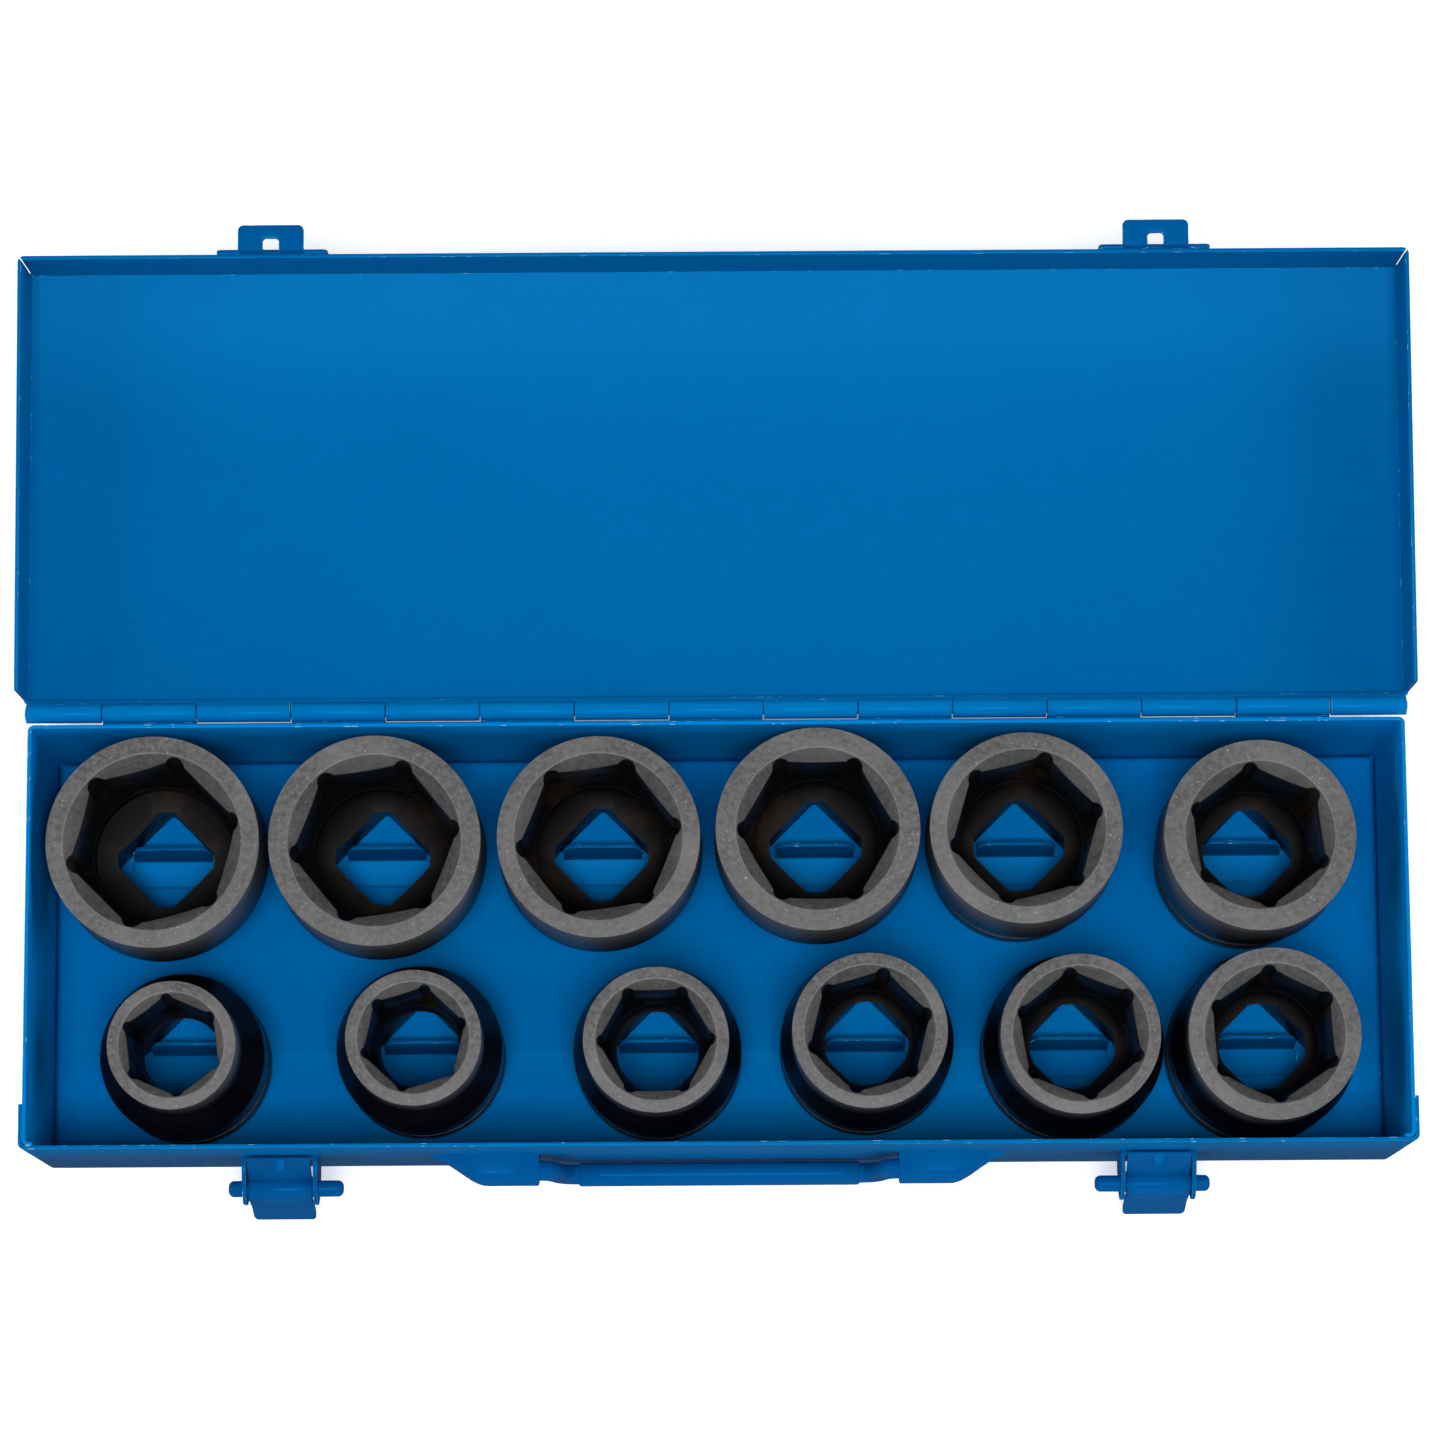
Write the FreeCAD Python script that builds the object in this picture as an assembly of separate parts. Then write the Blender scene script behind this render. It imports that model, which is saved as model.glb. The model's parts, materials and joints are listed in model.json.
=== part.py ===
import FreeCAD, Part
import math
import os

os.makedirs("parts", exist_ok=True)

V = FreeCAD.Vector
X_AXIS = V(1, 0, 0)
Z_AXIS = V(0, 0, 1)

# A folded sheet-steel case that holds twelve impact sockets with a 3/4 inch drive.
# Millimetres. The origin is at the centre of the case's underside, +X is to the right
# along the case, +Y goes back to the hinge and +Z is up. The lid is built shut and then
# turned open about the hinge pin, which is how the case is stored here.

# ---- case ----
case_length = 334.4        # outside the two side walls
case_depth = 103.0         # front panel's outer face to rear wall's outer face
case_headroom = 0.9        # above the longest socket, to the rim
sheet = 0.9                # thickness of every folded sheet
bend_radius = 1.6          # outside radius of a fold
front_lip_height = 10.0    # the pan's own low front edge, behind the front panel
wing_length = 10.9         # how far the front panel wraps round each side
seam_width = 0.35          # open slot where two of the lid's flanges meet at a corner
seam_top_gap = 0.8         # it ends this far below the lid's plate
lip_cut_back = 0.6         # space behind the front panel, above the pan's low front edge

# ---- socket rack ----
rack_top = 6.0             # height of the plate that the sockets stand on
rack_clearance = 0.6       # between the rack and the pan's walls
tongue_setback = 1.5       # tongue's middle behind the middle of its row
tongue_slack = 4.6         # what the drive hole's width there exceeds the tongue's by
tongue_height = 6.5        # above the rack plate
tongue_corner = 2.6
window_depth = 6.7         # opening that the tongue was bent up from
window_side_gap = 0.5

# ---- lid ----
lid_gap = 0.2              # between the rim and the shut lid's plate
lid_flange = 21.5          # overall height of the lid's front and side flanges
lid_rear_flange = 4.5      # overall height of its rear flange, above the hinge
lid_rear_gap = 0.3         # between the rear wall and the rear flange
lid_side_gap = 0.5         # between the front panel's wings and the lid's side flanges
lid_front_gap = 3.15       # between the front panel and the lid's front flange
lid_open_angle = 177.0     # from shut
flange_end_cut = 0.6       # slope of the side flanges' ends by the hinge

# ---- hinge ----
leaf_thickness = 1.0       # of the lid's leaf
leaf_width = 14.0          # of the case's leaf
leaf_lap = 0.15            # how far the case's leaf reaches in under the knuckles
knuckle_radius = 2.3
hinge_pin_radius = 1.25
hinge_running_gap = 0.05   # radial, between the pin and the knuckles
knuckle_wall_gap = 1.4     # between a knuckle and the rear wall
knuckle_edge_gap = 0.3     # between a knuckle and the edge of the rear flange
knuckle_count = 15         # odd ones belong to the lid, even ones to the case
end_knuckle = 18.5
knuckle_gap = 0.35
hinge_end_gap = 0.3        # between the end knuckles and the lid's side flanges
hinge_web_bite = 0.7       # how far a case knuckle's web goes into the knuckle
hinge_pin_end = 0.3        # pin beyond the end knuckles

# ---- latches ----
latch_centre = 107.5       # from the middle of the case, both ways
pivot_reach = 7.5          # latch pin's axis in front of the front panel
pivot_drop = 11.1          # latch pin's axis below the shut lid's flange edge
latch_pin_radius = 2.0
latch_pin_gap = 0.06       # radial
latch_pin_outer_end = 12.8  # from the latch's middle, towards the case's end
latch_pin_inner_end = 15.4  # towards the middle of the case
latch_sheet = 1.0
lever_width = 15.4
lever_ear_gap = 0.5
lever_rise = 9.2           # upper arm's edge above the pin's axis
lever_top_gap = 0.45       # between the upper arm's top and the front panel
nose_width = 3.0
nose_height = 1.0
nose_reach = 2.2
nose_drop = 0.3            # below the upper arm's edge
nose_bite = 0.5            # how far the nose goes into the arm
arm_foot_in = 2.2          # the arm's foot behind the pin's axis
arm_foot_up = 0.6          # and above it
arm_edge_drop = 0.9        # the arm's folded edge below the lever's top
finger_flare = 6.5         # outermost point of the finger tab, in front of the pin's axis
finger_length = 16.5       # below the pin's axis
finger_corner = 3.4
finger_root_out = 0.9      # the tab's root inside the curl's surface
finger_root_down = 1.0     # and below the pin's axis
finger_bend_share = 0.4    # height of its bend below the axis, of its length
finger_bend_out = 0.2      # the bend inside the curl's surface
pin_dome_share = 0.7       # rounding of the latch pins' ends, of their radius
ear_radius = 3.8           # of the bracket's ears, in front of the pin's axis
ear_below = 9.0            # bracket's lower edge below the pin's axis
ear_above = 6.0            # its upper edge above the axis

# ---- hasps on the lid ----
hasp_width = 27.0
hasp_tab_width = 16.0
hasp_sheet = 1.0
hasp_plate_height = 15.0   # on the flange
hasp_drop = 3.9            # the tab's fold below the flange's edge
hasp_wing_drop = 1.0
hasp_tab_reach = 6.45      # tab's edge in front of the flange
hasp_hole_width = 3.9
hasp_hole_reach = 3.15     # hole's far edge in front of the flange
hasp_hole_rise = 3.0       # hole's upper edge above the tab's underside
hasp_corner = 1.4
hasp_hole_corner = 0.9

# ---- carrying handle ----
handle_span = 88.0         # between the two brackets
grip_span = 70.0
handle_pivot_drop = 7.1    # handle's axis below the shut lid's flange edge
handle_drop = 20.0         # pivot to grip
rod_radius = 2.5
grip_radius = 3.4
grip_wall_gap = 0.4
handle_running_gap = 0.08
stub_length = 11.0         # rod inside each bracket
bracket_gap = 0.4          # between the handle's shoulder and a bracket
bracket_tunnel = 14.0      # straight part of a bracket
bracket_taper = 12.0       # part that slopes down to the panel
bracket_wall = 1.1
bracket_tip_share = 0.7    # height of the taper's tip, of the tunnel's
bracket_corner = 2.0       # of the flat flange
bracket_bore_extra = 1.5   # bore beyond the end of the rod
bracket_flange = 4.5       # flat flange above and below the tunnel
grip_groove = 0.8          # seam along the back of the grip
grip_end = 1.0             # bare rod between the grip and each bend
grip_round = 0.8

# ---- sockets ----
drive_square = 19.3
drive_corner = 1.2
drive_depth = 17.0
rear_row_inset = 27.7      # rear row's middle in front of the rear wall's outer face
front_row_inset = 26.3     # front row's middle behind the front panel's outer face
seat_gap = 0.1             # between a socket and the rack plate
small_length = 50.0
large_length = 51.0
mouth_round = 1.8
small_cone_low = 0.46      # a small socket narrows between these shares of its length
small_cone_high = 0.66
large_step = 27.0          # length of a large socket's wide end
large_drive_radius = 22.0
step_fall = 1.5            # the step's slope on the drive end's side
step_chamfer = 0.8         # on the wide end's side
hex_clearance = 0.3        # across flats, over the nominal size
hex_share = 0.42           # depth of the hexagon, of the socket's length
lobe_share = 0.07          # radius of the round relief in the hexagon's corners, of its size
lobe_set_in = 0.85         # its centre inside the corner, of its radius
relief_share = 0.475       # radius of the round relief, of the socket's size
relief_over_drive = 0.8    # it is at least this much outside the drive square's flats
relief_above_drive = 4.2   # floor of the round relief above the drive hole's end
drive_lead = 0.6           # the cone between them starts this far below the drive hole's end
mouth_lip = 0.6            # countersink's rim outside the hexagon's corners
mouth_slope = 1.15         # the countersink's fall over its width
mouth_wall = 0.6           # flat face left at least between the countersink and the round
drive_chamfer = 1.0
ring_groove_height = 9.5   # centre of the retaining ring's groove above the drive end
ring_groove_width = 4.4
ring_groove_depth = 1.5
cross_hole_radius = 2.2

# nominal size, mouth diameter, widest diameter, x of its tongue,
# slack taken up on the tongue in y, turn of the hexagon in degrees
FRONT_SOCKETS = [
    (21, 31.0, 40.5, -131.8, -1.2, 37),
    (22, 32.8, 40.8, -73.5, 0.2, 17),
    (24, 35.2, 41.4, -15.0, -0.6, 1),
    (26, 37.5, 42.6, 36.6, 1.3, 16),
    (27, 38.6, 44.4, 87.4, 0.2, 39),
    (28, 41.6, 45.6, 134.2, -0.1, 34),
]
REAR_SOCKETS = [
    (30, 46.5, 47.1, 131.6, -0.9, 37),
    (32, 46.7, 47.5, 75.0, 1.2, 14),
    (33, 49.6, 50.3, 24.5, 1.3, 0),
    (34, 49.2, 50.2, -28.7, -0.3, 8),
    (35, 51.4, 52.2, -83.0, -0.9, 9),
    (36, 51.6, 52.4, -136.8, -0.9, 15),
]

# ---- derived places ----
case_height = rack_top + seat_gap + max(small_length, large_length) + case_headroom
half_length = case_length / 2
rear_face = case_depth / 2
front_face = -case_depth / 2
pan_front = front_face + sheet
wing_outer = half_length + sheet
lid_bottom = case_height + lid_gap
lid_top = lid_bottom + sheet
lid_half_inner = wing_outer + lid_side_gap
lid_half_outer = lid_half_inner + sheet
lid_front_inner = front_face - lid_front_gap
lid_front_outer = lid_front_inner - sheet
flange_edge = lid_top - lid_flange
hinge_y = rear_face + knuckle_wall_gap + knuckle_radius
lid_rear_inner = rear_face + lid_rear_gap
lid_rear_outer = lid_rear_inner + sheet
rear_flange_edge = lid_top - lid_rear_flange
hinge_z = rear_flange_edge - knuckle_edge_gap - knuckle_radius
hinge_half = lid_half_inner - hinge_end_gap
pivot_y = front_face - pivot_reach
pivot_height = flange_edge - pivot_drop
lever_top = pivot_height + lever_rise
handle_pivot_height = flange_edge - handle_pivot_drop
rear_row = rear_face - rear_row_inset
front_row = front_face + front_row_inset
tongue_width = drive_square * math.sqrt(2) - 2 * tongue_setback - tongue_slack
handle_reach = grip_radius + grip_wall_gap
handle_y = front_face - handle_reach


def box(x0, x1, y0, y1, z0, z1):
    """A block between two corners."""
    return Part.makeBox(x1 - x0, y1 - y0, z1 - z0, V(x0, y0, z0))


def cylinder_x(radius, x0, x1, y, z):
    """A cylinder along X."""
    return Part.makeCylinder(radius, x1 - x0, V(x0, y, z), X_AXIS)


def prism_x(points, x0, x1):
    """A (y, z) outline carried along X."""
    corners = [V(x0, y, z) for y, z in points]
    face = Part.Face(Part.makePolygon(corners + corners[:1]))
    return face.extrude(V(x1 - x0, 0, 0))


def fillet_where(shape, radius, test):
    """Round the straight edges that pass the test, which gets an edge's two ends."""
    edges = []
    for edge in shape.Edges:
        if len(edge.Vertexes) != 2:
            continue
        ends = [v.Point for v in edge.Vertexes]
        if test(ends[0], ends[1]):
            edges.append(edge)
    return shape.makeFillet(radius, edges) if edges else shape


def along(axis):
    """A test for edges that run along one axis, 0, 1 or 2."""
    def test(a, b):
        return all(abs(a[i] - b[i]) < 1e-6 for i in range(3) if i != axis)
    return test


def at_height(z):
    """A test for edges that lie at one height."""
    def test(a, b):
        return abs(a.z - z) < 1e-6 and abs(b.z - z) < 1e-6
    return test


def save(shape, name):
    """Write one clean solid, or a group, as a STEP file."""
    if not shape.isValid():
        raise ValueError("bad shape: " + name)
    shape = shape.removeSplitter()
    shape.exportStep("parts/" + name + ".step")
    print(name, len(shape.Solids), round(shape.Volume, 1))


def folded_tray(x, y0, y1, z0, z1, open_at_top=True):
    """A tray of sheet with rounded folds, its plate at z0 or, if not open at the top, z1."""
    lift = sheet if open_at_top else -sheet
    plate_z = z0 if open_at_top else z1
    outer = box(-x, x, y0, y1, z0, z1)
    outer = fillet_where(outer, bend_radius, along(2))
    outer = fillet_where(outer, bend_radius - 0.05, at_height(plate_z))
    inner = box(-x + sheet, x - sheet, y0 + sheet, y1 - sheet, z0 - 1 + max(lift + 1, 0),
                z1 + 1 + min(lift - 1, 0))
    inner = fillet_where(inner, bend_radius - sheet, along(2))
    return outer.cut(inner)


# ---- case ----

def base_pan():
    """Floor, rear wall and side walls folded from one sheet, with a low front lip."""
    pan = folded_tray(half_length, pan_front, rear_face, 0, case_height)
    front = box(-half_length + bend_radius + 1, half_length - bend_radius - 1,
                pan_front - 1, pan_front + sheet + lip_cut_back, front_lip_height,
                case_height + 1)
    return pan.cut(front)


def front_panel():
    """Front wall as its own sheet, with wings that wrap round the side walls."""
    outer = box(-wing_outer, wing_outer, front_face, front_face + wing_length, 0, case_height)
    outer = fillet_where(outer, bend_radius, lambda a, b: along(2)(a, b) and a.y < front_face + 1)
    inner = box(-half_length, half_length, pan_front, front_face + wing_length + 1,
                -1, case_height + 1)
    inner = fillet_where(inner, bend_radius - sheet,
                         lambda a, b: along(2)(a, b) and a.y < pan_front + 1)
    return outer.cut(inner)


def tongue(x, y):
    """Tab bent up from the rack plate, with round top corners."""
    half = tongue_width / 2
    tab = box(x - half, x + half, y - sheet / 2, y + sheet / 2,
              rack_top - sheet, rack_top + tongue_height)
    top = rack_top + tongue_height
    return fillet_where(tab, tongue_corner,
                        lambda a, b: along(1)(a, b) and abs(a.z - top) < 1e-6)


def socket_rack():
    """Raised plate inside the case with a tongue and its window for each socket."""
    x = half_length - sheet - rack_clearance
    y0 = pan_front + sheet + rack_clearance
    y1 = rear_face - sheet - rack_clearance
    rack = folded_tray(x, y0, y1, sheet, rack_top, open_at_top=False)
    half = tongue_width / 2 + window_side_gap
    for row, sockets in ((front_row, FRONT_SOCKETS), (rear_row, REAR_SOCKETS)):
        middle = row + tongue_setback
        edge = middle - sheet / 2
        for _, _, _, x, _, _ in sockets:
            window = box(x - half, x + half, edge - window_depth, edge,
                         rack_top - sheet - 1, rack_top + 1)
            rack = rack.cut(window).fuse(tongue(x, middle))
    return rack


# ---- lid, built shut ----

def turned_open(shape):
    """Turn a lid piece from shut to its open place."""
    shape.rotate(V(0, hinge_y, hinge_z), X_AXIS, -lid_open_angle)
    return shape


def lid_pan():
    """Top plate with deep flanges outside the case on three sides and a low one at the rear."""
    lid = folded_tray(lid_half_outer, lid_front_outer, lid_rear_outer, flange_edge, lid_top,
                      open_at_top=False)
    relief = lid_rear_inner - sheet / 3
    slope = [(lid_rear_outer + 1, rear_flange_edge), (relief, rear_flange_edge),
             (relief - flange_end_cut, flange_edge - 1), (lid_rear_outer + 1, flange_edge - 1)]
    lid = lid.cut(prism_x(slope, -lid_half_outer - 1, lid_half_outer + 1))
    for side in (-1, 1):
        seam = box(-seam_width / 2, seam_width / 2, -4, 4, flange_edge - 1,
                   lid_bottom - seam_top_gap)
        seam.rotate(V(0, 0, 0), Z_AXIS, 45 * side)
        seam.translate(V(side * lid_half_inner, lid_front_inner, 0))
        lid = lid.cut(seam)
    return turned_open(lid)


def hasp(centre):
    """Plate on the lid's front flange with a tab folded outwards and a hole in the fold."""
    y0 = lid_front_outer - hasp_sheet
    fold = flange_edge - hasp_drop
    plate = box(centre - hasp_width / 2, centre + hasp_width / 2, y0, lid_front_outer,
                flange_edge - hasp_wing_drop, flange_edge + hasp_plate_height)
    plate = fillet_where(plate, hasp_corner, along(1))
    half = hasp_tab_width / 2
    neck = box(centre - half, centre + half, y0, lid_front_outer, fold,
               flange_edge + hasp_plate_height / 2)
    tab = box(centre - half, centre + half, lid_front_outer - hasp_tab_reach, lid_front_outer,
              fold, fold + hasp_sheet)
    tab = fillet_where(tab, hasp_corner,
                       lambda a, b: along(2)(a, b) and a.y < lid_front_outer - 2)
    body = plate.fuse(neck).fuse(tab).removeSplitter()
    body = fillet_where(body, hasp_sheet - 0.1, lambda a, b: along(0)(a, b)
                        and abs(a.y - lid_front_outer) < 1e-6 and abs(a.z - fold) < 1e-6)
    hole = box(centre - hasp_hole_width / 2, centre + hasp_hole_width / 2,
               lid_front_outer - hasp_hole_reach, lid_front_outer + 1,
               fold - 1, fold + hasp_hole_rise)
    hole = fillet_where(hole, hasp_hole_corner, lambda a, b: along(2)(a, b) and a.y < lid_front_outer)
    return turned_open(body.cut(hole))


# ---- hinge ----

def knuckle_ends():
    """The two ends along X of each knuckle, from left to right."""
    inner = (2 * hinge_half - 2 * end_knuckle) / (knuckle_count - 2)
    edges = [-hinge_half] + [-hinge_half + end_knuckle + i * inner
                             for i in range(knuckle_count - 1)] + [hinge_half]
    half = knuckle_gap / 2
    spans = []
    for i in range(knuckle_count):
        low = edges[i] + (half if i else 0)
        high = edges[i + 1] - (half if i < knuckle_count - 1 else 0)
        spans.append((low, high))
    return spans


def hinge_leaf(of_lid):
    """A leaf with its knuckles; the lid's is on its rear flange, the case's on the rear wall."""
    if of_lid:
        face, reach = lid_rear_outer, lid_half_outer - bend_radius
        leaf = box(-reach, reach, face, face + leaf_thickness,
                   rear_flange_edge, lid_top - bend_radius)
    else:
        # the case's leaf stops short of the two end knuckles, which are the lid's
        face, reach = rear_face, hinge_half - end_knuckle - knuckle_gap
        top = hinge_z - knuckle_radius - knuckle_edge_gap
        leaf = box(-reach, reach, face, face + knuckle_wall_gap + leaf_lap,
                   top - leaf_width, top)
    for i, (low, high) in enumerate(knuckle_ends()):
        if (i % 2 == 0) != of_lid:
            continue
        knuckle = cylinder_x(knuckle_radius, low, high, hinge_y, hinge_z)
        far = rear_flange_edge + 1 if of_lid else hinge_z - knuckle_radius - 1
        thickness = leaf_thickness if of_lid else knuckle_wall_gap + hinge_web_bite
        web = box(low, high, face, face + thickness, min(far, hinge_z), max(far, hinge_z))
        leaf = leaf.fuse(knuckle.fuse(web))
    bore = cylinder_x(hinge_pin_radius + hinge_running_gap, -hinge_half - 1, hinge_half + 1,
                      hinge_y, hinge_z)
    leaf = leaf.cut(bore)
    return turned_open(leaf) if of_lid else leaf


def hinge_pin():
    """Wire through all the knuckles."""
    half = hinge_half + hinge_pin_end
    return cylinder_x(hinge_pin_radius, -half, half, hinge_y, hinge_z)


# ---- latches; an outline point is (reach in front of the panel, height) ----

def outline(points):
    """Turn (reach, height) points into (y, z)."""
    return [(front_face - reach, z) for reach, z in points]


def strip(points, thickness, x0, x1):
    """A strip of sheet along the points, thickened to the left of its direction."""
    pieces = None
    for (r0, z0), (r1, z1) in zip(points, points[1:]):
        run = math.hypot(r1 - r0, z1 - z0)
        n_r, n_z = (z0 - z1) / run * thickness, (r1 - r0) / run * thickness
        quad = [(r0, z0), (r1, z1), (r1 + n_r, z1 + n_z), (r0 + n_r, z0 + n_z)]
        piece = prism_x(outline(quad), x0, x1)
        joint = cylinder_x(abs(thickness) / 2, x0, x1, front_face - r1 - n_r / 2, z1 + n_z / 2)
        piece = piece.fuse(joint)
        pieces = piece if pieces is None else pieces.fuse(piece)
    return pieces


def latch_bracket(centre):
    """Plate on the front panel with two ears that hold the latch pin."""
    inner = lever_width / 2 + lever_ear_gap
    outer = inner + latch_sheet
    low, high = pivot_height - ear_below, pivot_height + ear_above
    tip = pivot_reach + ear_radius
    plate = box(centre - outer, centre + outer, front_face - latch_sheet, front_face, low, high)
    ear = [(0, low), (0.5 * pivot_reach, low), (tip - 0.4 * ear_radius, low + 0.4 * ear_below),
           (tip, low + 0.7 * ear_below), (tip, pivot_height + 0.25 * ear_above),
           (tip - 0.85 * ear_radius, high - 0.25 * ear_above), (0.45 * pivot_reach, high),
           (0, high)]
    for side in (-1, 1):
        x0, x1 = sorted((centre + side * inner, centre + side * outer))
        plate = plate.fuse(prism_x(outline(ear), x0, x1))
    hole = cylinder_x(latch_pin_radius + latch_pin_gap, centre - outer - 1, centre + outer + 1,
                      pivot_y, pivot_height)
    return plate.removeSplitter().cut(hole)


def latch_pin(centre, side):
    """Pivot pin with domed ends; it stands out further towards the middle of the case."""
    ends = (-latch_pin_outer_end, latch_pin_inner_end)
    if side > 0:
        ends = (-latch_pin_inner_end, latch_pin_outer_end)
    pin = cylinder_x(latch_pin_radius, centre + ends[0], centre + ends[1], pivot_y, pivot_height)
    return pin.makeFillet(latch_pin_radius * pin_dome_share,
                          [e for e in pin.Edges if isinstance(e.Curve, Part.Circle)])


def latch_lever(centre):
    """Rocking lever: upper arm with the nose, curl round the pin, finger tab below."""
    half = lever_width / 2
    curl_radius = latch_pin_radius + latch_pin_gap + latch_sheet
    x0, x1 = centre - half, centre + half
    arm = strip([(pivot_reach - arm_foot_in, pivot_height + arm_foot_up),
                 (lever_top_gap, lever_top - arm_edge_drop)], -latch_sheet, x0, x1)
    finger_reach = pivot_reach + finger_flare
    finger_bottom = pivot_height - finger_length
    finger = strip([(pivot_reach + curl_radius - finger_root_out, pivot_height - finger_root_down),
                    (pivot_reach + curl_radius - finger_bend_out,
                     pivot_height - finger_bend_share * finger_length),
                    (finger_reach - latch_sheet, finger_bottom + latch_sheet)],
                   latch_sheet, x0, x1)
    curl = cylinder_x(curl_radius, x0, x1, pivot_y, pivot_height)
    nose = box(centre - nose_width / 2, centre + nose_width / 2,
               front_face - lever_top_gap - latch_sheet - nose_reach,
               front_face - lever_top_gap - nose_bite,
               lever_top - nose_drop - nose_height, lever_top - nose_drop)
    lever = arm.fuse(finger).fuse(curl).fuse(nose)
    bore = cylinder_x(latch_pin_radius + latch_pin_gap, x0 - 1, x1 + 1, pivot_y, pivot_height)
    lever = lever.cut(bore)
    # round the finger tab's two lower corners
    low = finger_bottom
    outermost = front_face - finger_reach - 3
    for side in (-1, 1):
        near, far = sorted((centre + side * (half - finger_corner), centre + side * (half + 1)))
        block = box(near, far, outermost, pivot_y, low - 2, low + finger_corner)
        keep = Part.makeCylinder(finger_corner, pivot_y - outermost,
                                 V(centre + side * (half - finger_corner), outermost,
                                   low + finger_corner), V(0, 1, 0))
        lever = lever.cut(block.cut(keep))
    return lever


# ---- carrying handle ----

def handle_bracket(side):
    """Formed tunnel on the front panel that the handle's end turns in."""
    start = handle_span / 2
    bore_radius = rod_radius + handle_running_gap
    radius = bore_radius + bracket_wall
    straight = cylinder_x(radius, start, start + bracket_tunnel, handle_y, handle_pivot_height)
    straight = straight.fuse(box(start, start + bracket_tunnel, handle_y, front_face,
                                 handle_pivot_height - radius, handle_pivot_height + radius))
    end = start + bracket_tunnel
    tip = end + bracket_taper
    wide = [V(end, handle_y - radius * math.sin(a), handle_pivot_height + radius * math.cos(a))
            for a in (0, math.pi / 2, math.pi)]
    low_tip = handle_pivot_height - radius * bracket_tip_share
    high_tip = handle_pivot_height + radius * bracket_tip_share
    first = Part.Wire([
        Part.Arc(wide[0], wide[1], wide[2]).toShape(),
        Part.makePolygon([wide[2], V(end, front_face, wide[2].z), V(end, front_face, wide[0].z),
                          wide[0]])])
    tip_y = front_face - bracket_wall
    last = Part.Wire([
        Part.Arc(V(tip, tip_y, high_tip), V(tip, tip_y - 0.3, handle_pivot_height),
                 V(tip, tip_y, low_tip)).toShape(),
        Part.makePolygon([V(tip, tip_y, low_tip), V(tip, front_face, low_tip),
                          V(tip, front_face, high_tip), V(tip, tip_y, high_tip)])])
    taper = Part.makeLoft([first, last], True, True)
    flange = box(start, tip - 2, front_face - sheet, front_face,
                 handle_pivot_height - radius - bracket_flange,
                 handle_pivot_height + radius)
    flange = fillet_where(flange, bracket_corner, along(1))
    bore = cylinder_x(bore_radius, start - 1, start + stub_length + bracket_bore_extra, handle_y,
                      handle_pivot_height)
    body = straight.fuse(taper).fuse(flange).cut(bore)
    if side < 0:
        body = body.mirror(V(0, 0, 0), X_AXIS)
    return body


def carry_handle():
    """Rod bent into a shallow loop, with a rolled grip, hanging from its two brackets."""
    start = handle_span / 2
    pivot = [V(side * (start + stub_length), handle_y, handle_pivot_height) for side in (-1, 1)]
    shoulder = [V(side * (start - bracket_gap - rod_radius), handle_y, handle_pivot_height)
                for side in (-1, 1)]
    low = handle_pivot_height - handle_drop
    grip = [V(side * grip_span / 2, handle_y, low) for side in (-1, 1)]
    path = [pivot[0], shoulder[0], grip[0], grip[1], shoulder[1], pivot[1]]
    body = None
    for a, b in zip(path, path[1:]):
        piece = Part.makeCylinder(rod_radius, (b - a).Length, a, b - a)
        body = piece if body is None else body.fuse(piece)
    for joint in path[1:-1]:
        body = body.fuse(Part.makeSphere(rod_radius, joint))
    half = grip_span / 2 - grip_end
    sleeve = cylinder_x(grip_radius, -half, half, handle_y, low)
    sleeve = sleeve.makeFillet(grip_round,
                               [e for e in sleeve.Edges if isinstance(e.Curve, Part.Circle)])
    seam = box(-grip_span, grip_span, handle_y + rod_radius, handle_y + grip_radius + 1,
               low - grip_groove / 2, low + grip_groove / 2)
    return body.fuse(sleeve.cut(seam))


# ---- sockets ----

def hexagon_cutter(size, turn, depth, top):
    """Hexagonal pocket whose corners are relieved by round lobes."""
    flats = size + hex_clearance
    corner = flats / math.sqrt(3)
    lobe = lobe_share * size
    angles = [math.radians(turn + 60 * i) for i in range(6)]
    points = [V(corner * math.cos(a), corner * math.sin(a), top - depth) for a in angles]
    pocket = Part.Face(Part.makePolygon(points + points[:1])).extrude(V(0, 0, depth + 1))
    for a in angles:
        reach = corner - lobe_set_in * lobe
        pocket = pocket.fuse(Part.makeCylinder(lobe, depth + 1, V(
            reach * math.cos(a), reach * math.sin(a), top - depth)))
    return pocket.removeSplitter()


def drive_cutter():
    """Square drive hole, one diagonal along X, with slightly round corners."""
    half = drive_square / 2
    square = box(-half, half, -half, half, -1, drive_depth + 1)
    square = fillet_where(square, drive_corner, along(2))
    square.rotate(V(0, 0, 0), Z_AXIS, 45)
    return square


def socket_profile(mouth, widest, length, large):
    """Half outline of a socket's outside, as (radius, height) points from the drive end up."""
    if large:
        shoulder = length - large_step
        return [(large_drive_radius - drive_chamfer, 0), (large_drive_radius, drive_chamfer),
                (large_drive_radius, shoulder - step_fall),
                (widest - step_chamfer, shoulder), (widest, shoulder + step_chamfer),
                (mouth, length)]
    return [(widest - drive_chamfer, 0), (widest, drive_chamfer),
            (widest, small_cone_low * length), (mouth, small_cone_high * length), (mouth, length)]


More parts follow.
